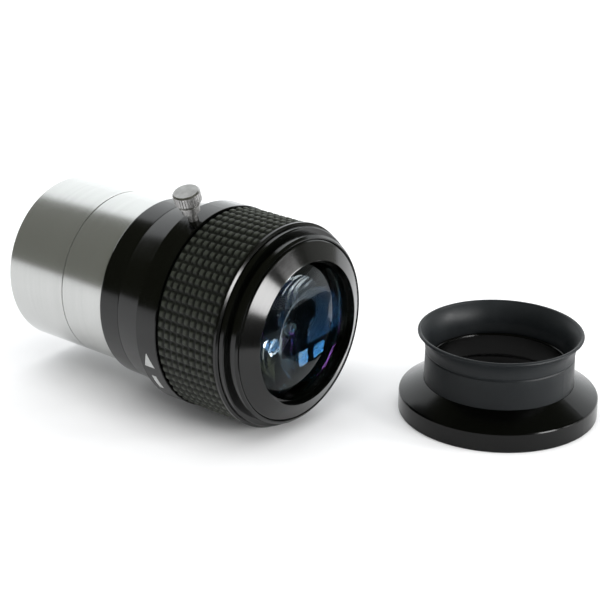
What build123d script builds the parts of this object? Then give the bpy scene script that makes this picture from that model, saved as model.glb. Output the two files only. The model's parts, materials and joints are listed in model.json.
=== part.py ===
from build123d import *
import math
import os

os.makedirs("parts", exist_ok=True)

# Telescope eyepiece for a 2-inch focuser, lying on its side, with its push-on eyecup standing beside it.
# Frame: +X is the optical axis towards the eye, +Z is up, and the origin is the centre of the shoulder
# where the barrel meets the housing. Millimetres throughout. The eyecup stands on the plane that the
# eyepiece lies on.

# ---- driving dimensions -------------------------------------------------------------------------
# stations along the optical axis
BARREL_END_X = -40.2
GROOVE_X = -17.2
HOUSING_STEP_X = 7.8
HOUSING_FRONT_X = 17.5
SLEEVE_REAR_X = 17.6
GRIP_REAR_X = 25.3
GRIP_FRONT_X = 46.9
SLEEVE_FRONT_X = 48.2
COLLAR_SHOULDER_X = 50.0
COLLAR_FRONT_X = 53.3
BEZEL_FRONT_X = 56.2

# radii
BARREL_R = 25.4
BARREL_BORE_R = 23.0
FILTER_THREAD_R = 24.0
BARREL_NECK_R = 24.6
HOUSING_REAR_R = 27.1
HOUSING_FRONT_R = 28.4
INNER_TUBE_R = 26.9
INNER_TUBE_NECK_R = 25.9
LENS_BORE_R = 24.0
SLEEVE_R = 30.1
SLEEVE_BORE_R = 26.95
GRIP_SEAT_R = 28.2
GRIP_R = 29.8
COLLAR_R = 29.25
COLLAR_FRONT_R = 26.95
EYECUP_SEAT_R = 27.6
BEZEL_R = 26.3
OPENING_R = 20.9

# lengths and small features
FILTER_THREAD_LENGTH = 4.0
NECK_LENGTH = 6.5
HOUSING_LIP = 1.1
EDGE_BREAK = 0.3
SLEEVE_TRAVEL = 10.0

# thumbscrew, M3, leaning towards -Y from the top of the sleeve
SCREW_X = 21.5
SCREW_LEAN = 18.0
SCREW_THREAD_R = 1.5
SCREW_HOLE_R = 1.55
SCREW_HEAD_R = 4.0
SCREW_NECK_R = 2.65
SCREW_FOOT = 28.0
SCREW_NECK_BASE = 32.6
SCREW_HEAD_BASE = 36.0
SCREW_FLANGE_R = 3.15
SCREW_TOP = 39.6
KNURL_COUNT = 32

# guide screw that keys the sleeve to the inner tube, on the +Y side under the grip
GUIDE_X = 29.2
GUIDE_PIN_R = 1.25
GUIDE_SLOT_R = 1.3
GUIDE_SLOT_FLOOR = 25.0
GUIDE_HEAD_R = 2.1
GUIDE_HEAD_BASE = 27.5

# eyecup, standing on its base ring
CUP_X = 90.1
CUP_Y = 46.8
CUP_BASE_R = 29.16
CUP_BASE_HEIGHT = 5.9
CUP_BORE_R = 27.7
CUP_BORE_DEPTH = 2.8
CUP_NECK_R = 20.6
CUP_NECK_BORE_R = 19.6
CUP_NECK_TOP = 15.5
CUP_CONE_TOP = 9.8
CUP_CONE_TOP_R = 22.07
CUP_LIP_R = 24.13
CUP_HEIGHT = 25.0

# lens surfaces as (place on the axis, radius of curvature), positive when bulging towards the eye
EYE_FRONT = (55.7, 60)
EYE_CEMENT = (45.8, -60)
EYE_REAR = (44.1, 200)
CENTRE_FRONT = (37.0, 70)
CENTRE_REAR = (27.0, -70)
FIELD_FRONT = (25.5, 65)
FIELD_CEMENT = (13.0, -50)
FIELD_REAR = (11.7, 300)
EYE_LENS_R = 20.85
INNER_LENS_R = 23.6
SPACER_BORE_R = 22.6

floor_z = -SLEEVE_R
cup_axis = Axis((CUP_X, CUP_Y, floor_z), (0, 0, 1))
cup_plane = Plane(origin=(CUP_X, CUP_Y, floor_z), x_dir=(1, 0, 0), z_dir=(0, -1, 0))

lean = math.radians(SCREW_LEAN)
screw_direction = (0, -math.sin(lean), math.cos(lean))
screw_axis = Axis((SCREW_X, 0, 0), screw_direction)
screw_side = Plane(
    origin=(SCREW_X, 0, 0), x_dir=(1, 0, 0), z_dir=(0, -math.cos(lean), -math.sin(lean))
)
screw_face = Plane(origin=(SCREW_X, 0, 0), x_dir=(1, 0, 0), z_dir=screw_direction)


# ---- shared shapes ------------------------------------------------------------------------------
def turned(outline):
    """Revolve an outline of (x, radius) points about the optical axis."""
    with BuildSketch(Plane.XZ) as profile:
        with BuildLine():
            Polyline(*outline, close=True)
        make_face()
    revolve(profile.sketch, axis=Axis.X)


def turned_ring(rear_x, front_x, inner_r, outer_r, bevel=0.15):
    """A plain ring on the optical axis with broken outer edges."""
    turned(
        [
            (rear_x, inner_r),
            (rear_x, outer_r - bevel),
            (rear_x + bevel, outer_r),
            (front_x - bevel, outer_r),
            (front_x, outer_r - bevel),
            (front_x, inner_r),
        ]
    )


def spanner_slots(face_x, depth, inner_r, outer_r, width=1.6):
    """Cut two opposite slots for a pin spanner, going in along +X from face_x."""
    mid_r = (inner_r + outer_r) / 2
    with BuildSketch(Plane.YZ.offset(face_x)) as slots:
        with PolarLocations(mid_r, 2):
            Rectangle(outer_r - inner_r + 1, width)
    extrude(slots.sketch, amount=depth, mode=Mode.SUBTRACT)


def surface_x(surface, height):
    """Where a lens surface lies on X at a height above the axis."""
    apex, curve = surface
    sag = abs(curve) - math.sqrt(curve**2 - height**2)
    return apex - math.copysign(sag, curve)


def lens(front, rear, height):
    """A lens between two spherical surfaces, ground to a cylinder of radius height."""
    front_mid = (surface_x(front, height / 2), height / 2)
    front_edge = (surface_x(front, height), height)
    rear_mid = (surface_x(rear, height / 2), height / 2)
    rear_edge = (surface_x(rear, height), height)
    with BuildSketch(Plane.XZ) as profile:
        with BuildLine():
            ThreePointArc((front[0], 0), front_mid, front_edge)
            Line(front_edge, rear_edge)
            ThreePointArc(rear_edge, rear_mid, (rear[0], 0))
            Line((rear[0], 0), (front[0], 0))
        make_face()
    revolve(profile.sketch, axis=Axis.X)


# ---- barrel -------------------------------------------------------------------------------------
with BuildPart() as barrel:
    turned(
        [
            (BARREL_END_X, FILTER_THREAD_R + EDGE_BREAK),
            (BARREL_END_X, BARREL_R - 0.4),
            (BARREL_END_X + 0.4, BARREL_R),
            (GROOVE_X - 0.2, BARREL_R),
            (GROOVE_X - 0.1, BARREL_R - 0.35),
            (GROOVE_X + 0.3, BARREL_R),
            (0, BARREL_R),
            (0, BARREL_NECK_R),
            (NECK_LENGTH, BARREL_NECK_R),
            (NECK_LENGTH, BARREL_BORE_R),
            (BARREL_END_X + FILTER_THREAD_LENGTH, BARREL_BORE_R),
            (BARREL_END_X + FILTER_THREAD_LENGTH, FILTER_THREAD_R),
            (BARREL_END_X + EDGE_BREAK, FILTER_THREAD_R),
        ]
    )
barrel.part.label = "barrel"
export_step(barrel.part, "parts/barrel.step")

# ---- blackened parts inside the barrel ----------------------------------------------------------
baffle_rear_x = BARREL_END_X + FILTER_THREAD_LENGTH
baffle_sleeve_x = baffle_rear_x + 2.2
field_stop_x = -5.0
baffle_groove_pitch = 1.16
baffle_groove_count = round((field_stop_x - baffle_sleeve_x) / baffle_groove_pitch)
baffle_bore_r = 22.35

with BuildPart() as baffle_ring:
    turned_ring(baffle_rear_x, baffle_sleeve_x, 21.9, BARREL_BORE_R)
    spanner_slots(baffle_rear_x, 1.0, 21.9, BARREL_BORE_R)
baffle_ring.part.label = "baffle_ring"
export_step(baffle_ring.part, "parts/baffle_ring.step")

baffle_outline = [(field_stop_x, BARREL_BORE_R), (baffle_sleeve_x, BARREL_BORE_R)]
for turn in range(baffle_groove_count):
    crest_x = baffle_sleeve_x + turn * baffle_groove_pitch
    baffle_outline.append((crest_x, baffle_bore_r))
    baffle_outline.append((crest_x + 0.2, baffle_bore_r))
    baffle_outline.append((crest_x + baffle_groove_pitch / 2 + 0.1, baffle_bore_r + 0.4))
baffle_outline.append((field_stop_x - 0.1, baffle_bore_r))
baffle_outline.append((field_stop_x, baffle_bore_r))

with BuildPart() as baffle_sleeve:
    turned(baffle_outline)
baffle_sleeve.part.label = "baffle_sleeve"
export_step(baffle_sleeve.part, "parts/baffle_sleeve.step")

with BuildPart() as field_stop:
    turned(
        [
            (field_stop_x, 22.5),
            (field_stop_x, BARREL_BORE_R),
            (field_stop_x + 1.6, BARREL_BORE_R),
            (field_stop_x + 1.6, 21.8),
            (field_stop_x + 1.4, 21.8),
        ]
    )
field_stop.part.label = "field_stop"
export_step(field_stop.part, "parts/field_stop.step")

# ---- housing and the fixed inner tube -----------------------------------------------------------
housing_lip_x = NECK_LENGTH + HOUSING_LIP

with BuildPart() as base_housing:
    turned(
        [
            (0, BARREL_NECK_R),
            (0, HOUSING_REAR_R - 0.7),
            (0.2, HOUSING_REAR_R - 0.3),
            (0.7, HOUSING_REAR_R),
            (HOUSING_STEP_X - 0.2, HOUSING_REAR_R + 0.1),
            (HOUSING_STEP_X, HOUSING_REAR_R - 0.05),
            (HOUSING_STEP_X + 0.2, HOUSING_REAR_R + 0.2),
            (HOUSING_FRONT_X - EDGE_BREAK, HOUSING_FRONT_R),
            (HOUSING_FRONT_X, HOUSING_FRONT_R - EDGE_BREAK),
            (HOUSING_FRONT_X, INNER_TUBE_NECK_R),
            (housing_lip_x, INNER_TUBE_NECK_R),
            (housing_lip_x, 22.5),
            (NECK_LENGTH, 22.5),
            (NECK_LENGTH, BARREL_NECK_R),
        ]
    )
base_housing.part.label = "base_housing"
export_step(base_housing.part, "parts/base_housing.step")

o_ring_groove_x = 42.4
o_ring_width = 1.6
o_ring_floor_r = 25.4

with BuildPart() as inner_tube:
    turned(
        [
            (housing_lip_x, LENS_BORE_R),
            (housing_lip_x, INNER_TUBE_NECK_R),
            (HOUSING_FRONT_X, INNER_TUBE_NECK_R),
            (HOUSING_FRONT_X, INNER_TUBE_R),
            (o_ring_groove_x, INNER_TUBE_R),
            (o_ring_groove_x, o_ring_floor_r),
            (o_ring_groove_x + o_ring_width, o_ring_floor_r),
            (o_ring_groove_x + o_ring_width, INNER_TUBE_R),
            (SLEEVE_FRONT_X - 0.5, INNER_TUBE_R),
            (SLEEVE_FRONT_X - 0.2, INNER_TUBE_R - EDGE_BREAK),
            (SLEEVE_FRONT_X - 0.2, LENS_BORE_R),
        ]
    )
    # blind slot for the guide screw, as long as the sleeve's travel
    with BuildSketch(Plane.XZ.offset(-GUIDE_SLOT_FLOOR)):
        with Locations((GUIDE_X + SLEEVE_TRAVEL / 2, 0)):
            SlotCenterToCenter(SLEEVE_TRAVEL, 2 * GUIDE_SLOT_R)
    extrude(amount=-5, mode=Mode.SUBTRACT)
inner_tube.part.label = "inner_tube"
export_step(inner_tube.part, "parts/inner_tube.step")

with BuildPart() as guide_o_ring:
    with BuildSketch(Plane.XZ):
        with Locations((o_ring_groove_x + o_ring_width / 2, (o_ring_floor_r + INNER_TUBE_R) / 2)):
            Circle((INNER_TUBE_R - o_ring_floor_r) / 2)
    revolve(axis=Axis.X)
guide_o_ring.part.label = "guide_o_ring"
export_step(guide_o_ring.part, "parts/guide_o_ring.step")

# ---- eye end: bezel that holds the eye lens ------------------------------------------------------
bezel_rear_x = 38.0
eye_seat_x = 43.0
inner_tube_front_x = SLEEVE_FRONT_X - 0.2

with BuildPart() as eye_bezel:
    turned(
        [
            (bezel_rear_x, 22.2),
            (bezel_rear_x, LENS_BORE_R),
            (inner_tube_front_x, LENS_BORE_R),
            (inner_tube_front_x, BEZEL_R),
            (COLLAR_FRONT_X - 0.1, BEZEL_R),
            (COLLAR_FRONT_X + 0.2, BEZEL_R - 0.3),
            (BEZEL_FRONT_X - 0.1, OPENING_R + 0.35),
            (BEZEL_FRONT_X, OPENING_R + 0.15),
            (BEZEL_FRONT_X - 0.1, OPENING_R),
            (eye_seat_x, OPENING_R),
            (eye_seat_x, 19.9),
            (eye_seat_x - 1, 19.9),
            (eye_seat_x - 1, 22.2),
        ]
    )
eye_bezel.part.label = "eye_bezel"
export_step(eye_bezel.part, "parts/eye_bezel.step")

eye_ring_x = 52.3
with BuildPart() as eye_lens_ring:
    turned_ring(eye_ring_x, eye_ring_x + 2.0, 20.1, OPENING_R - 0.02, bevel=0.1)
    spanner_slots(eye_ring_x + 1.0, 2.0, 20.1, OPENING_R)
eye_lens_ring.part.label = "eye_lens_ring"
export_step(eye_lens_ring.part, "parts/eye_lens_ring.step")

# ---- lenses: eye doublet, centre singlet, field doublet ------------------------------------------
with BuildPart() as eye_crown_lens:
    lens(EYE_FRONT, EYE_CEMENT, EYE_LENS_R)
eye_crown_lens.part.label = "eye_crown_lens"
export_step(eye_crown_lens.part, "parts/eye_crown_lens.step")

with BuildPart() as eye_flint_lens:
    lens(EYE_CEMENT, EYE_REAR, EYE_LENS_R)
eye_flint_lens.part.label = "eye_flint_lens"
export_step(eye_flint_lens.part, "parts/eye_flint_lens.step")

with BuildPart() as centre_lens:
    lens(CENTRE_FRONT, CENTRE_REAR, INNER_LENS_R)
centre_lens.part.label = "centre_lens"
export_step(centre_lens.part, "parts/centre_lens.step")

with BuildPart() as field_crown_lens:
    lens(FIELD_FRONT, FIELD_CEMENT, INNER_LENS_R)
field_crown_lens.part.label = "field_crown_lens"
export_step(field_crown_lens.part, "parts/field_crown_lens.step")

with BuildPart() as field_flint_lens:
    lens(FIELD_CEMENT, FIELD_REAR, INNER_LENS_R)
field_flint_lens.part.label = "field_flint_lens"
export_step(field_flint_lens.part, "parts/field_flint_lens.step")

# spacer rings between the groups, each touching the glass at its bore
contact_gap = 0.02
with BuildPart() as front_spacer:
    turned_ring(
        surface_x(CENTRE_FRONT, SPACER_BORE_R) + contact_gap,
        bezel_rear_x,
        SPACER_BORE_R,
        LENS_BORE_R,
    )
front_spacer.part.label = "front_spacer"
export_step(front_spacer.part, "parts/front_spacer.step")

with BuildPart() as rear_spacer:
    turned_ring(
        surface_x(FIELD_FRONT, SPACER_BORE_R) + contact_gap,
        surface_x(CENTRE_REAR, SPACER_BORE_R) - contact_gap,
        SPACER_BORE_R,
        LENS_BORE_R,
    )
rear_spacer.part.label = "rear_spacer"
export_step(rear_spacer.part, "parts/rear_spacer.step")

field_ring_front_x = surface_x(FIELD_REAR, INNER_LENS_R) - contact_gap
field_ring_rear_x = housing_lip_x + 0.5
with BuildPart() as field_lens_ring:
    turned_ring(field_ring_rear_x, field_ring_front_x, 21.6, LENS_BORE_R)
    spanner_slots(field_ring_rear_x, 1.0, 21.6, LENS_BORE_R)
field_lens_ring.part.label = "field_lens_ring"
export_step(field_lens_ring.part, "parts/field_lens_ring.step")

# ---- sliding sleeve ------------------------------------------------------------------------------
collar_neck_x = 45.0
collar_neck_r = 27.6

with BuildPart() as sleeve_tube:
    turned(
        [
            (SLEEVE_REAR_X, SLEEVE_BORE_R + 0.2),
            (SLEEVE_REAR_X, SLEEVE_R - 0.4),
            (SLEEVE_REAR_X + 0.4, SLEEVE_R),
            (GRIP_REAR_X - 0.2, SLEEVE_R),
            (GRIP_REAR_X, SLEEVE_R - 0.2),
            (GRIP_REAR_X, GRIP_SEAT_R),
            (GRIP_FRONT_X, GRIP_SEAT_R),
            (GRIP_FRONT_X, SLEEVE_R - 0.2),
            (GRIP_FRONT_X + 0.2, SLEEVE_R),
            (SLEEVE_FRONT_X - 0.4, SLEEVE_R),
            (SLEEVE_FRONT_X, SLEEVE_R - 0.7),
            (SLEEVE_FRONT_X, collar_neck_r),
            (collar_neck_x, collar_neck_r),
            (collar_neck_x, SLEEVE_BORE_R),
            (SLEEVE_REAR_X + 0.2, SLEEVE_BORE_R),
        ]
    )
    with BuildSketch(screw_face.offset(SLEEVE_BORE_R - 2)):
        Circle(SCREW_HOLE_R)
    extrude(amount=6, mode=Mode.SUBTRACT)
    with BuildSketch(Plane.XZ.offset(-GUIDE_SLOT_FLOOR)):
        with Locations((GUIDE_X, 0)):
            Circle(GUIDE_PIN_R)
    extrude(amount=-5, mode=Mode.SUBTRACT)
    with BuildSketch(Plane.XZ.offset(-GUIDE_HEAD_BASE)):
        with Locations((GUIDE_X, 0)):
            Circle(GUIDE_HEAD_R)
    extrude(amount=-3, mode=Mode.SUBTRACT)
sleeve_tube.part.label = "sleeve_tube"
export_step(sleeve_tube.part, "parts/sleeve_tube.step")

with BuildPart() as guide_screw:
    with BuildSketch(Plane.XZ.offset(-GUIDE_SLOT_FLOOR - 0.1)):
        with Locations((GUIDE_X, 0)):
            Circle(GUIDE_PIN_R)
    extrude(amount=-(GUIDE_HEAD_BASE - GUIDE_SLOT_FLOOR))
    with BuildSketch(Plane.XZ.offset(-GUIDE_HEAD_BASE)):
        with Locations((GUIDE_X, 0)):
            Circle(GUIDE_HEAD_R)
    extrude(amount=-0.6)
    with BuildSketch(Plane.XZ.offset(-GUIDE_HEAD_BASE - 0.3)):
        with Locations((GUIDE_X, 0)):
            Rectangle(2 * GUIDE_HEAD_R, 0.5)
    extrude(amount=-0.5, mode=Mode.SUBTRACT)
guide_screw.part.label = "guide_screw"
export_step(guide_screw.part, "parts/guide_screw.step")

# rubber grip with raised rings, stretched into the recess of the sleeve
rib_count = 9
rib_pitch = (GRIP_FRONT_X - GRIP_REAR_X) / rib_count
rib_floor_r = GRIP_R - 0.6
grip_outline = [(GRIP_FRONT_X, GRIP_SEAT_R), (GRIP_REAR_X, GRIP_SEAT_R)]
for rib in range(rib_count):
    rib_x = GRIP_REAR_X + rib * rib_pitch
    grip_outline.append((rib_x, rib_floor_r))
    grip_outline.append((rib_x + 0.35, rib_floor_r))
    grip_outline.append((rib_x + 0.55, GRIP_R))
    grip_outline.append((rib_x + rib_pitch - 0.55, GRIP_R))
    grip_outline.append((rib_x + rib_pitch - 0.35, rib_floor_r))
grip_outline.append((GRIP_FRONT_X, rib_floor_r))

with BuildPart() as rubber_grip:
    turned(grip_outline)
rubber_grip.part.label = "rubber_grip"
export_step(rubber_grip.part, "parts/rubber_grip.step")

collar_clear_r = BEZEL_R + 0.2
with BuildPart() as front_collar:
    turned(
        [
            (collar_neck_x, SLEEVE_BORE_R + 0.05),
            (collar_neck_x, collar_neck_r),
            (SLEEVE_FRONT_X, collar_neck_r),
            (SLEEVE_FRONT_X, COLLAR_R - 0.4),
            (SLEEVE_FRONT_X + 0.3, COLLAR_R),
            (COLLAR_SHOULDER_X - 0.3, COLLAR_R),
            (COLLAR_SHOULDER_X, COLLAR_R - EDGE_BREAK),
            (COLLAR_SHOULDER_X, EYECUP_SEAT_R),
            (COLLAR_FRONT_X - 0.6, EYECUP_SEAT_R),
            (COLLAR_FRONT_X, COLLAR_FRONT_R),
            (COLLAR_FRONT_X, collar_clear_r + 0.1),
            (COLLAR_FRONT_X - 0.1, collar_clear_r),
            (SLEEVE_FRONT_X, collar_clear_r),
            (SLEEVE_FRONT_X, SLEEVE_BORE_R + 0.05),
        ]
    )
front_collar.part.label = "front_collar"
export_step(front_collar.part, "parts/front_collar.step")

# ---- thumbscrew and its nylon tip ----------------------------------------------------------------
with BuildPart() as thumb_screw:
    with BuildSketch(screw_side):
        with BuildLine():
            Polyline(
                (0, SCREW_FOOT),
                (SCREW_THREAD_R - 0.2, SCREW_FOOT),
                (SCREW_THREAD_R, SCREW_FOOT + 0.2),
                (SCREW_THREAD_R, SCREW_NECK_BASE),
                (SCREW_NECK_R - 0.2, SCREW_NECK_BASE),
                (SCREW_NECK_R, SCREW_NECK_BASE + 0.2),
                (SCREW_NECK_R, SCREW_HEAD_BASE - 1.6),
                (SCREW_FLANGE_R, SCREW_HEAD_BASE - 1.35),
                (SCREW_FLANGE_R, SCREW_HEAD_BASE - 0.8),
                (SCREW_FLANGE_R - 0.35, SCREW_HEAD_BASE - 0.4),
                (SCREW_FLANGE_R - 0.35, SCREW_HEAD_BASE),
                (SCREW_HEAD_R - 0.35, SCREW_HEAD_BASE),
                (SCREW_HEAD_R, SCREW_HEAD_BASE + 0.35),
                (SCREW_HEAD_R, SCREW_TOP - 0.45),
                (SCREW_HEAD_R - 0.45, SCREW_TOP),
                (0, SCREW_TOP),
                close=True,
            )
        make_face()
    revolve(axis=screw_axis)
    # straight knurl down the side of the head
    with BuildSketch(screw_face.offset(SCREW_HEAD_BASE - 0.1)):
        with PolarLocations(SCREW_HEAD_R + 0.14, KNURL_COUNT):
            Rectangle(0.4, 0.4, rotation=45)
    extrude(amount=SCREW_TOP - SCREW_HEAD_BASE + 0.2, mode=Mode.SUBTRACT)
thumb_screw.part.label = "thumb_screw"
export_step(thumb_screw.part, "parts/thumb_screw.step")

with BuildPart() as clamp_tip:
    with BuildSketch(screw_face.offset(SLEEVE_BORE_R)):
        Circle(SCREW_THREAD_R - 0.3)
    extrude(amount=SCREW_FOOT - SLEEVE_BORE_R)
clamp_tip.part.label = "clamp_tip"
export_step(clamp_tip.part, "parts/clamp_tip.step")

# ---- eyecup --------------------------------------------------------------------------------------
with BuildPart() as eyecup_base:
    with BuildSketch(cup_plane):
        with BuildLine():
            Polyline(
                (CUP_BORE_R, 0),
                (CUP_BASE_R - 0.25, 0),
                (CUP_BASE_R, 0.25),
                (CUP_BASE_R, CUP_BASE_HEIGHT - 0.4),
                (CUP_BASE_R - 0.12, CUP_BASE_HEIGHT - 0.08),
                (CUP_BASE_R - 0.35, CUP_BASE_HEIGHT + 0.1),
                (CUP_CONE_TOP_R, CUP_CONE_TOP),
                (CUP_NECK_R, CUP_CONE_TOP),
                (CUP_NECK_R, CUP_NECK_TOP - 0.25),
                (CUP_NECK_R - 0.25, CUP_NECK_TOP),
                (CUP_NECK_BORE_R + 0.35, CUP_NECK_TOP),
                (CUP_NECK_BORE_R + 0.13, CUP_NECK_TOP - 0.15),
                (CUP_NECK_BORE_R, CUP_NECK_TOP - 0.5),
                (CUP_NECK_BORE_R, CUP_CONE_TOP - 0.9),
                (CUP_BORE_R - 0.7, CUP_BORE_DEPTH + 1.8),
                (CUP_BORE_R - 0.7, CUP_BORE_DEPTH),
                (CUP_BORE_R, CUP_BORE_DEPTH),
                close=True,
            )
        make_face()
    revolve(axis=cup_axis)
eyecup_base.part.label = "eyecup_base"
export_step(eyecup_base.part, "parts/eyecup_base.step")

rubber_foot_r = CUP_CONE_TOP_R - 0.15
fold_height = 18.7
with BuildPart() as eyecup_rubber:
    with BuildSketch(cup_plane):
        with BuildLine():
            Polyline(
                (CUP_NECK_R, CUP_CONE_TOP),
                (rubber_foot_r, CUP_CONE_TOP),
                (rubber_foot_r - 0.15, fold_height - 0.4),
                (rubber_foot_r - 0.3, fold_height),
                (rubber_foot_r - 0.1, fold_height + 0.5),
            )
            ThreePointArc(
                (rubber_foot_r - 0.1, fold_height + 0.5),
                (22.55, 22.2),
                (CUP_LIP_R, CUP_HEIGHT - 0.6),
            )
            ThreePointArc(
                (CUP_LIP_R, CUP_HEIGHT - 0.6),
                (CUP_LIP_R - 0.2, CUP_HEIGHT - 0.1),
                (CUP_LIP_R - 0.7, CUP_HEIGHT),
            )
            ThreePointArc(
                (CUP_LIP_R - 0.7, CUP_HEIGHT),
                (CUP_LIP_R - 0.95, CUP_HEIGHT - 0.1),
                (CUP_LIP_R - 1.1, CUP_HEIGHT - 0.35),
            )
            ThreePointArc(
                (CUP_LIP_R - 1.1, CUP_HEIGHT - 0.35), (21.45, 22.2), (CUP_NECK_R, 18.6)
            )
            Line((CUP_NECK_R, 18.6), (CUP_NECK_R, CUP_CONE_TOP))
        make_face()
    revolve(axis=cup_axis)
eyecup_rubber.part.label = "eyecup_rubber"
export_step(eyecup_rubber.part, "parts/eyecup_rubber.step")
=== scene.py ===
"""Telescope eyepiece lying on its side with its loose eyecup beside it, on a plain pale floor."""

import json
import math
import random

import bmesh
import bpy
from mathutils import Matrix, Vector


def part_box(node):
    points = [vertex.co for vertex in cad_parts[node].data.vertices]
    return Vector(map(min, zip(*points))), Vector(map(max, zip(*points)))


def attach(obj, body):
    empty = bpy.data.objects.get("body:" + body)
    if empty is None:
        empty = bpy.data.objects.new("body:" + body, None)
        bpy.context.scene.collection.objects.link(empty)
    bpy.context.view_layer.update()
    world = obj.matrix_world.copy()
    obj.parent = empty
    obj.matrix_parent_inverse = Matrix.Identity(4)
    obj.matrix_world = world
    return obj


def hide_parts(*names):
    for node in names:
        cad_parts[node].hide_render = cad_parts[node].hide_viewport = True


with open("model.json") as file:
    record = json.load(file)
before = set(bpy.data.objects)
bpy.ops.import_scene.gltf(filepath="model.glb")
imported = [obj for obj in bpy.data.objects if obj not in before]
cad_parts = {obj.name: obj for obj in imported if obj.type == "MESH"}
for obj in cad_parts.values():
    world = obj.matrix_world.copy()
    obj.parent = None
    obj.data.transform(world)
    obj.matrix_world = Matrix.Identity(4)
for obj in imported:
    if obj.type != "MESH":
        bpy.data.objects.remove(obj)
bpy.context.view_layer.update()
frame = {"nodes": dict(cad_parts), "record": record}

MM = 0.001
random.seed(7)

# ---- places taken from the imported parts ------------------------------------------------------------
barrel_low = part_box("barrel")[0]
sleeve_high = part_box("sleeve_tube")[1]
grip_low, grip_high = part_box("rubber_grip")
cup_low, cup_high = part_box("eyecup_base")
floor_z = cup_low.z
sleeve_radius = sleeve_high.y
grip_radius = grip_high.y
cup_centre = ((cup_low.x + cup_high.x) / 2, (cup_low.y + cup_high.y) / 2, floor_z)

# ---- sizes of what is added here -------------------------------------------------------------------
CAMERA_PLACE = (0.3322, -0.3414, 0.1888)
CAMERA_AZIMUTH = 39.28
CAMERA_ELEVATION = 22.15
CAMERA_ROLL = 0.27
CAMERA_LENS = 102
SENSOR_WIDTH = 36

STUD_ROWS = 9
STUDS_AROUND = 64
STUD_STEPS = 14
STUD_FLOOR_DEPTH = 0.75 * MM
STUD_RISE = 0.12 * MM
GRIP_INNER_DEPTH = 1.55 * MM
GRIP_BORDER = 0.35 * MM

THREAD_PITCH = 0.75 * MM
THREAD_MAJOR = 24.0 * MM
THREAD_DEPTH = 0.42 * MM
THREAD_START = 0.45 * MM
THREAD_END = 3.75 * MM
THREAD_SINK = 0.02 * MM
THREAD_BACK = 0.15 * MM
THREAD_AROUND = 160
THREAD_ALONG = 54
THREAD_FADE = 5

PAINT_ABOVE = 0.03 * MM
PAINT_BELOW = 0.05 * MM
MARK_STEPS = 24

GLASS_IOR = 1.55
FLOOR_HALF = 3.0
FLAG_LIFT = 1 * MM
FLAG_LOW, FLAG_HIGH = (0.155, -0.9), (1.4, 0.12)


# ---- camera ----------------------------------------------------------------------------------------
def add_camera():
    """A long lens from the eye end, looking down on the object."""
    azimuth, elevation = math.radians(CAMERA_AZIMUTH), math.radians(CAMERA_ELEVATION)
    back = Vector(
        (
            math.sin(azimuth) * math.cos(elevation),
            -math.cos(azimuth) * math.cos(elevation),
            math.sin(elevation),
        )
    )
    data = bpy.data.cameras.new("camera")
    data.lens = CAMERA_LENS
    data.sensor_width = SENSOR_WIDTH
    data.clip_start = 0.01
    data.clip_end = 20
    camera = bpy.data.objects.new("camera", data)
    bpy.context.scene.collection.objects.link(camera)
    turn = (-back).to_track_quat("-Z", "Y").to_matrix().to_4x4()
    roll = Matrix.Rotation(math.radians(CAMERA_ROLL), 4, "Z")
    camera.matrix_world = Matrix.Translation(CAMERA_PLACE) @ turn @ roll
    bpy.context.scene.camera = camera


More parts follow.
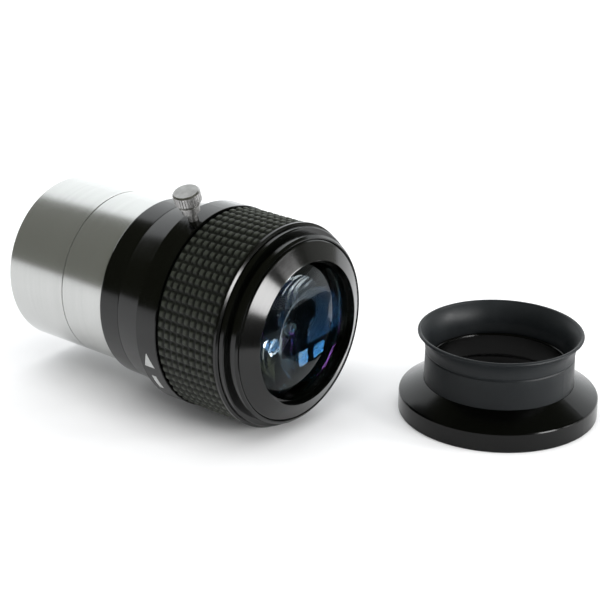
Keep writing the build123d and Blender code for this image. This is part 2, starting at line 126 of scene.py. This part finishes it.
# ---- small tools for building materials ------------------------------------------------------------
class Nodes:
    """Builds one node material, a step at a time."""

    def __init__(self, name):
        self.material = bpy.data.materials.new(name)
        self.material.use_nodes = True
        self.tree = self.material.node_tree
        self.tree.nodes.clear()
        self.out = self.add("ShaderNodeOutputMaterial")
        self.shader = self.add("ShaderNodeBsdfPrincipled")
        self.link(self.shader.outputs[0], self.out.inputs["Surface"])
        self.place = self.add("ShaderNodeTexCoord").outputs["Object"]

    def add(self, kind, **values):
        node = self.tree.nodes.new(kind)
        for key, value in values.items():
            setattr(node, key, value)
        return node

    def link(self, source, target):
        self.tree.links.new(source, target)

    def calculate(self, operation, first, second=None):
        node = self.add("ShaderNodeMath", operation=operation)
        for socket, value in zip(node.inputs, (first, second)):
            if value is None:
                continue
            if isinstance(value, (int, float)):
                socket.default_value = value
            else:
                self.link(value, socket)
        return node.outputs[0]

    def plus(self, first, second):
        return self.calculate("ADD", first, second)

    def times(self, first, second):
        return self.calculate("MULTIPLY", first, second)

    def distance(self, first, second):
        """How far a point is from the axis across which first and second are measured."""
        return self.calculate("SQRT", self.plus(self.times(first, first), self.times(second, second)))

    def split(self, vector):
        node = self.add("ShaderNodeSeparateXYZ")
        self.link(vector, node.inputs[0])
        return node.outputs

    def noise(self, vector, scale, detail):
        node = self.add("ShaderNodeTexNoise")
        node.inputs["Scale"].default_value = scale
        node.inputs["Detail"].default_value = detail
        node.inputs["Roughness"].default_value = 0.55
        self.link(vector, node.inputs["Vector"])
        return node.outputs["Fac"]

    def ramp(self, factor, low, high, low_at=0.3, high_at=0.7):
        """A value that runs from low to high as factor runs from low_at to high_at."""
        node = self.add("ShaderNodeMapRange")
        self.link(factor, node.inputs["Value"])
        node.inputs["From Min"].default_value = low_at
        node.inputs["From Max"].default_value = high_at
        node.inputs["To Min"].default_value = low
        node.inputs["To Max"].default_value = high
        return node.outputs["Result"]

    def around(self, along, across, centre=(0, 0, 0), axis="X"):
        """Coordinates for lathe marks: fine along the axis and the radius, long round the axis."""
        shift = self.add("ShaderNodeVectorMath", operation="SUBTRACT")
        shift.inputs[1].default_value = centre
        self.link(self.place, shift.inputs[0])
        parts = self.split(shift.outputs[0])
        names = {"X": ("X", "Y", "Z"), "Z": ("Z", "X", "Y")}[axis]
        axial, first, second = (parts[name] for name in names)
        radius = self.distance(first, second)
        join = self.add("ShaderNodeCombineXYZ")
        self.link(self.times(axial, along), join.inputs[0])
        self.link(self.times(radius, along), join.inputs[1])
        self.link(self.times(first, across), join.inputs[2])
        return join.outputs[0]

    def colour(self, factor, dark, light, low_at=0.35, high_at=0.65):
        """Base colour that runs from dark to light as factor runs from low_at to high_at."""
        node = self.add("ShaderNodeValToRGB")
        self.link(factor, node.inputs["Fac"])
        node.color_ramp.elements[0].position = low_at
        node.color_ramp.elements[0].color = (*dark, 1)
        node.color_ramp.elements[1].position = high_at
        node.color_ramp.elements[1].color = (*light, 1)
        self.link(node.outputs["Color"], self.shader.inputs["Base Color"])

    def rough(self, factor, low, high, low_at=0.3, high_at=0.7):
        self.link(self.ramp(factor, low, high, low_at, high_at), self.shader.inputs["Roughness"])

    def bump(self, height, depth, strength):
        node = self.add("ShaderNodeBump")
        node.inputs["Distance"].default_value = depth
        node.inputs["Strength"].default_value = strength
        self.link(height, node.inputs["Height"])
        self.link(node.outputs["Normal"], self.shader.inputs["Normal"])

    def set(self, name, value):
        self.shader.inputs[name].default_value = value


# ---- the finishes ----------------------------------------------------------------------------------
def satin_metal():
    """Clear-anodised aluminium, finely turned: thin rings round the barrel, a few handling marks."""
    m = Nodes("satin_metal")
    rings = m.noise(m.around(6500, 60), 1.0, 4)
    broad = m.noise(m.around(900, 10), 1.0, 3)
    smudge = m.noise(m.place, 45, 4)
    m.colour(broad, (0.525, 0.53, 0.52), (0.555, 0.56, 0.55))
    m.rough(m.plus(rings, m.times(smudge, 0.5)), 0.17, 0.22, 0.5, 1.0)
    m.bump(rings, 0.000002, 0.35)
    m.set("Metallic", 0.85)
    return m.material


def black_anodised(name="black_anodised", rough=0.11, centre=(0, 0, 0), axis="X", shine=0.41):
    """Glossy black anodised aluminium with faint lathe rings."""
    m = Nodes(name)
    rings = m.noise(m.around(3600, 24, centre, axis), 1.0, 3)
    smudge = m.noise(m.place, 60, 4)
    m.colour(smudge, (0.0005, 0.0006, 0.0005), (0.0012, 0.0014, 0.0012))
    m.rough(m.plus(rings, smudge), rough, rough + 0.07, 0.7, 1.3)
    m.bump(rings, 0.000006, 0.4)
    m.set("IOR", 1.5)
    m.set("Specular IOR Level", shine)
    return m.material


def black_matt():
    """Blackened surfaces inside the light path."""
    m = Nodes("black_matt")
    grain = m.noise(m.place, 2500, 3)
    m.colour(grain, (0.0025, 0.0027, 0.0027), (0.006, 0.006, 0.006))
    m.rough(grain, 0.45, 0.62)
    m.bump(grain, 0.00003, 0.5)
    m.set("Specular IOR Level", 0.25)
    return m.material


def grip_rubber():
    """Moulded black rubber, mottled, lighter on the tops of the studs and darker down in the gaps between
    them: painted shade in the gaps.
    """
    m = Nodes("grip_rubber")
    parts = m.split(m.place)
    radius = m.distance(parts["Y"], parts["Z"])
    # painted shade: the colour darkens from the stud tops down into the gaps between the studs
    painted_gap_shade = m.ramp(radius, 0.0, 1.0, grip_radius - 0.6 * MM, grip_radius + 0.05 * MM)
    grain = m.noise(m.place, 3200, 3)
    patch = m.noise(m.place, 120, 4)
    both = m.plus(m.times(painted_gap_shade, 0.75), m.times(patch, 0.4))
    m.colour(both, (0.004, 0.005, 0.0035), (0.026, 0.030, 0.021), 0.1, 0.95)
    m.rough(grain, 0.50, 0.66)
    m.bump(grain, 0.00004, 0.5)
    m.set("IOR", 1.45)
    return m.material


def cup_rubber():
    """Soft smooth rubber of the eyecup, mottled, and greyer towards the lip."""
    m = Nodes("cup_rubber")
    height = m.ramp(m.split(m.place)["Z"], 0.0, 1.0, cup_high.z, cup_high.z + 10 * MM)
    grain = m.noise(m.place, 2600, 3)
    patch = m.noise(m.place, 150, 5)
    both = m.plus(m.times(height, 0.4), m.times(patch, 0.6))
    m.colour(both, (0.007, 0.0085, 0.0095), (0.016, 0.018, 0.0195), 0.25, 0.8)
    m.rough(m.plus(grain, patch), 0.36, 0.50, 0.7, 1.3)
    m.bump(grain, 0.00002, 0.4)
    m.set("Specular IOR Level", 0.19)
    return m.material


def nickel():
    """Nickel-plated brass with faint brushing."""
    m = Nodes("nickel")
    brush = m.noise(m.around(2400, 200), 1.0, 3)
    patch = m.noise(m.place, 400, 4)
    m.colour(patch, (0.36, 0.355, 0.35), (0.48, 0.475, 0.47))
    m.rough(brush, 0.30, 0.42)
    m.bump(brush, 0.00001, 0.5)
    m.set("Metallic", 1.0)
    return m.material


def plain(name, dark, light, rough):
    """Small hidden or painted things: a lightly mottled colour."""
    m = Nodes(name)
    grain = m.noise(m.place, 900, 3)
    m.colour(grain, dark, light)
    m.rough(grain, rough - 0.06, rough + 0.06)
    m.bump(grain, 0.00002, 0.4)
    return m.material


def coated_glass(name, tint, coating):
    """Polished optical glass whose reflections take the coating's colour, with faint dust on top."""
    m = Nodes(name)
    m.rough(m.noise(m.place, 1500, 5), 0.0, 0.02, 0.62, 0.8)
    m.set("Base Color", (*tint, 1))
    m.set("Transmission Weight", 1.0)
    m.set("IOR", GLASS_IOR)
    m.set("Specular Tint", (*coating, 1))
    return m.material


def sheet_material(name, scale, detail, dark, light, rough):
    """Paper or cloth in an even colour with a faint grain."""
    m = Nodes(name)
    m.colour(m.noise(m.place, scale, detail), dark, light)
    m.set("Roughness", rough)
    return m.material


# ---- small tools for building meshes ---------------------------------------------------------------
def piece_from(name, vertices, faces, body, slot, material, smooth=True):
    """A mesh piece that rides on a body, with the finish it is given; the slot argument is not used."""
    mesh = bpy.data.meshes.new(name)
    mesh.from_pydata(vertices, [], faces)
    mesh.validate()
    work = bmesh.new()
    work.from_mesh(mesh)
    bmesh.ops.recalc_face_normals(work, faces=work.faces)
    work.to_mesh(mesh)
    work.free()
    mesh.polygons.foreach_set("use_smooth", [smooth] * len(mesh.polygons))
    piece = bpy.data.objects.new(name, mesh)
    bpy.context.scene.collection.objects.link(piece)
    piece.data.materials.append(material)
    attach(piece, body)
    return piece


def closed_tube(rows):
    """Vertices and faces of a surface closed both ways, from rows of points of equal length."""
    count = len(rows[0])
    vertices = [point for row in rows for point in row]
    faces = []
    for i in range(len(rows)):
        below, above = i * count, ((i + 1) % len(rows)) * count
        for j in range(count):
            k = (j + 1) % count
            faces.append((below + j, below + k, above + k, above + j))
    return vertices, faces


def on_axis(x, radius, angle):
    """A point round the optical axis, at an angle from straight up towards -Y."""
    return (x, -radius * math.sin(angle), radius * math.cos(angle))


# ---- the studded grip ------------------------------------------------------------------------------
def stud_height(share, edge=0.05, wall=0.26):
    """Height from 0 to 1 across one stud's pitch: floor, rounded wall, nearly flat top."""
    inside = 0.5 - abs(share - 0.5)
    t = min(1.0, max(0.0, (inside - edge) / wall))
    return t * t * (3 - 2 * t)


def add_grip(material):
    """Rubber band with a grid of small square studs."""
    floor_radius = grip_radius - STUD_FLOOR_DEPTH
    top_radius = grip_radius + STUD_RISE
    inner_radius = grip_radius - GRIP_INNER_DEPTH
    around = STUDS_AROUND * STUD_STEPS
    length = grip_high.x - grip_low.x - 2 * GRIP_BORDER
    steps = STUD_ROWS * STUD_STEPS
    uneven = [[random.uniform(0.86, 1.0) for _ in range(STUDS_AROUND)] for _ in range(STUD_ROWS)]
    profile = [(grip_low.x, inner_radius, 0, 0), (grip_low.x, floor_radius, 0, 0)]
    for i in range(steps + 1):
        share = (i % STUD_STEPS) / STUD_STEPS
        stud = min(i // STUD_STEPS, STUD_ROWS - 1)
        x = grip_low.x + GRIP_BORDER + length * i / steps
        profile.append((x, floor_radius, stud_height(share), stud))
    profile += [(grip_high.x, floor_radius, 0, 0), (grip_high.x, inner_radius, 0, 0)]
    rows = []
    for x, radius, lift, stud in profile:
        row = []
        for j in range(around):
            side = stud_height((j % STUD_STEPS) / STUD_STEPS) * uneven[stud][j // STUD_STEPS]
            height = (top_radius - floor_radius) * lift * side
            row.append(on_axis(x, radius + height, 2 * math.pi * j / around))
        rows.append(row)
    grip = piece_from("studded_grip", *closed_tube(rows), "sleeve", "grip_rubber", material)
    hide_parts("rubber_grip")


# ---- painted index marks on the sleeve -------------------------------------------------------------
def add_mark(name, start, end, near, far, material):
    """Thin paint on the sleeve between two angles, as wide as near at the start and far at the end."""
    top, base = sleeve_radius + PAINT_ABOVE, sleeve_radius - PAINT_BELOW
    vertices, faces = [], []
    for step in range(MARK_STEPS + 1):
        t = step / MARK_STEPS
        angle = math.radians(start + (end - start) * t)
        low = near[0] + (far[0] - near[0]) * t
        high = near[1] + (far[1] - near[1]) * t
        for x, radius in ((low, base), (low, top), (high, top), (high, base)):
            vertices.append(on_axis(x, radius, angle))
    for step in range(MARK_STEPS):
        for side in range(4):
            a, b = step * 4 + side, step * 4 + (side + 1) % 4
            faces.append((a, b, b + 4, a + 4))
    faces.append((0, 1, 2, 3))
    faces.append(tuple(MARK_STEPS * 4 + side for side in range(4)))
    piece_from(name, vertices, faces, "sleeve", None, material, smooth=False)


# ---- the filter thread in the mouth of the barrel --------------------------------------------------
def add_filter_thread(material):
    """A fine thread cut in the barrel's mouth, from its plain major radius inwards."""
    first, last = barrel_low.x + THREAD_START, barrel_low.x + THREAD_END
    turns = [2 * math.pi * j / THREAD_AROUND for j in range(THREAD_AROUND)]
    rows = []
    for i in range(THREAD_ALONG + 1):
        x = first + (last - first) * i / THREAD_ALONG
        fade = min(1.0, i / THREAD_FADE, (THREAD_ALONG - i) / THREAD_FADE)
        row = []
        for j, angle in enumerate(turns):
            share = (x / THREAD_PITCH - j / THREAD_AROUND) % 1.0
            crest = 1 - abs(share - 0.5) * 2
            row.append(on_axis(x, THREAD_MAJOR + THREAD_SINK - THREAD_DEPTH * crest * fade, angle))
        rows.append(row)
    for x in (last, first):
        rows.append([on_axis(x, THREAD_MAJOR + THREAD_BACK, angle) for angle in turns])
    piece_from("filter_thread_ridges", *closed_tube(rows), "root", "satin_metal", material, smooth=False)


# ---- floor, light and surroundings -----------------------------------------------------------------
def add_sheet(name, low, high, height, material):
    """A flat horizontal rectangle that isn't part of the object."""
    mesh = bpy.data.meshes.new(name)
    corners = ((low[0], low[1]), (high[0], low[1]), (high[0], high[1]), (low[0], high[1]))
    mesh.from_pydata([(x, y, height) for x, y in corners], [], [(0, 1, 2, 3)])
    mesh.materials.append(material)
    sheet = bpy.data.objects.new(name, mesh)
    bpy.context.scene.collection.objects.link(sheet)
    return sheet


def add_world():
    """A dim room round the lights; the camera sees a pale surround and matt surfaces a soft fill."""
    world = bpy.data.worlds.new("room")
    bpy.context.scene.world = world
    world.use_nodes = True
    tree = world.node_tree
    tree.nodes.clear()
    out = tree.nodes.new("ShaderNodeOutputWorld")
    path = tree.nodes.new("ShaderNodeLightPath")

    def shade(colour):
        background = tree.nodes.new("ShaderNodeBackground")
        background.inputs["Color"].default_value = (*colour, 1)
        return background.outputs[0]

    def choose(kind_of_ray, otherwise, chosen):
        mix = tree.nodes.new("ShaderNodeMixShader")
        tree.links.new(path.outputs[kind_of_ray], mix.inputs[0])
        tree.links.new(otherwise, mix.inputs[1])
        tree.links.new(chosen, mix.inputs[2])
        return mix.outputs[0]

    room = shade((0.084, 0.088, 0.058))
    soft_fill = shade((0.60, 0.605, 0.61))
    seen = shade((0.95, 0.95, 0.95))
    lighting = choose("Is Diffuse Ray", room, soft_fill)
    tree.links.new(choose("Is Camera Ray", lighting, seen), out.inputs["Surface"])


def add_flag():
    """A dark card lying on the floor in front of the eye lens, seen only in reflections."""
    cloth = sheet_material("flag_cloth", 300, 2, (0.02, 0.021, 0.018), (0.03, 0.031, 0.027), 1.0)
    flag = add_sheet("flag", FLAG_LOW, FLAG_HIGH, floor_z + FLAG_LIFT, cloth)
    flag.visible_camera = False
    flag.visible_diffuse = False
    flag.visible_shadow = False
    flag.visible_transmission = False


def shining(size, radiance):
    """The power in watts that makes an area light of this size look this bright."""
    return radiance * math.pi * size[0] * size[1]


def add_softbox(name, place, target, size, power, colour=(1, 1, 1)):
    data = bpy.data.lights.new(name, "AREA")
    data.shape = "RECTANGLE"
    data.size, data.size_y = size
    data.energy = power
    data.color = colour
    light = bpy.data.objects.new(name, data)
    bpy.context.scene.collection.objects.link(light)
    light.location = place
    light.rotation_mode = "QUATERNION"
    light.rotation_quaternion = (Vector(target) - Vector(place)).to_track_quat("-Z", "Y")
    light.visible_camera = False
    return light


def add_backdrop():
    """A wide bright panel behind the object, leaning over it."""
    behind = Vector((-0.634, 0.773, 0))
    low = behind * 1.6 + Vector((0, 0, -0.03))
    top = behind * 0.49 + Vector((0, 0, 0.62))
    size = (2.4, (top - low).length)
    middle = (low + top) / 2
    normal = (top - low).cross(Vector((-behind.y, behind.x, 0))).normalized()
    if normal.dot(middle) > 0:
        normal = -normal
    add_softbox("backdrop", middle, middle + normal, size, shining(size, 1.55), (0.94, 0.97, 1.0))


def add_glowing(name, place, target, size, radiance):
    """A window or wall of a known brightness."""
    add_softbox(name, place, target, size, shining(size, radiance))


# ---- run -------------------------------------------------------------------------------------------
add_camera()

finishes = {
    "satin_metal": satin_metal(),
    "black_anodised": black_anodised(),
    "black_matt": black_matt(),
    "grip_rubber": grip_rubber(),
    "cup_rubber": cup_rubber(),
    "cup_black": black_anodised("cup_black", 0.15, cup_centre, "Z", 0.22),
    "seal_rubber": plain("seal_rubber", (0.01, 0.01, 0.01), (0.03, 0.03, 0.03), 0.5),
    "nickel": nickel(),
    "nylon": plain("nylon", (0.75, 0.74, 0.70), (0.85, 0.84, 0.8), 0.45),
}
# each lens: the colour of its glass, and the colour that its coating reflects
lenses = {
    "eye_crown_lens": ((0.80, 0.90, 0.92), (0.022, 0.065, 0.075)),
    "eye_flint_lens": ((0.74, 0.86, 0.88), (0.07, 0.32, 0.80)),
    "centre_lens": ((0.66, 0.74, 0.80), (0.75, 0.18, 0.70)),
    "field_crown_lens": ((0.60, 0.72, 0.74), (0.10, 0.30, 0.50)),
    "field_flint_lens": ((0.60, 0.72, 0.74), (0.15, 0.40, 0.30)),
}
for entry in frame["record"]["subparts"]:
    name = entry["node"]
    materials = frame["nodes"][name].data.materials
    materials.clear()
    if name in lenses:
        materials.append(coated_glass("glass_" + name, *lenses[name]))
    else:
        materials.append(finishes[entry["material_slot"]])

add_grip(finishes["grip_rubber"])
add_filter_thread(finishes["satin_metal"])
# the index marks are white paint; their mid grey here is painted shade, as the marks lie in shade
paint = plain("mark_paint_greyed_as_shade", (0.42, 0.43, 0.42), (0.50, 0.51, 0.50), 0.5)
point, base = (20.95 * MM, 21.15 * MM), (19.2 * MM, 22.9 * MM)
add_mark("index_triangle", 102, 111, point, base, paint)
bar = (20.2 * MM, 21.9 * MM)
add_mark("index_bar", 118, 129, bar, bar, paint)

paper = sheet_material("floor_paper", 30, 3, (0.90, 0.90, 0.90), (0.93, 0.93, 0.93), 0.9)
add_sheet("floor", (-FLOOR_HALF, -FLOOR_HALF), (FLOOR_HALF, FLOOR_HALF), floor_z, paper)
add_world()
add_flag()
add_backdrop()
add_glowing("window", (0.79, 0.045, 0.158), (0.05, -0.01, 0), (0.25, 0.21), 21)
add_glowing("second_window", (0.69, 0.375, 0.165), (0.05, 0, 0), (0.20, 0.23), 21)
add_glowing("side_wall", (0.60, 0.95, 0.12), (0.05, 0, 0.05), (1.3, 0.5), 0.42)
fill = add_softbox("fill", (0.0, -0.3, 1.2), (0.02, 0, 0), (1.2, 1.2), 8)
fill.visible_glossy = False
bpy.context.scene.view_settings.view_transform = "Standard"
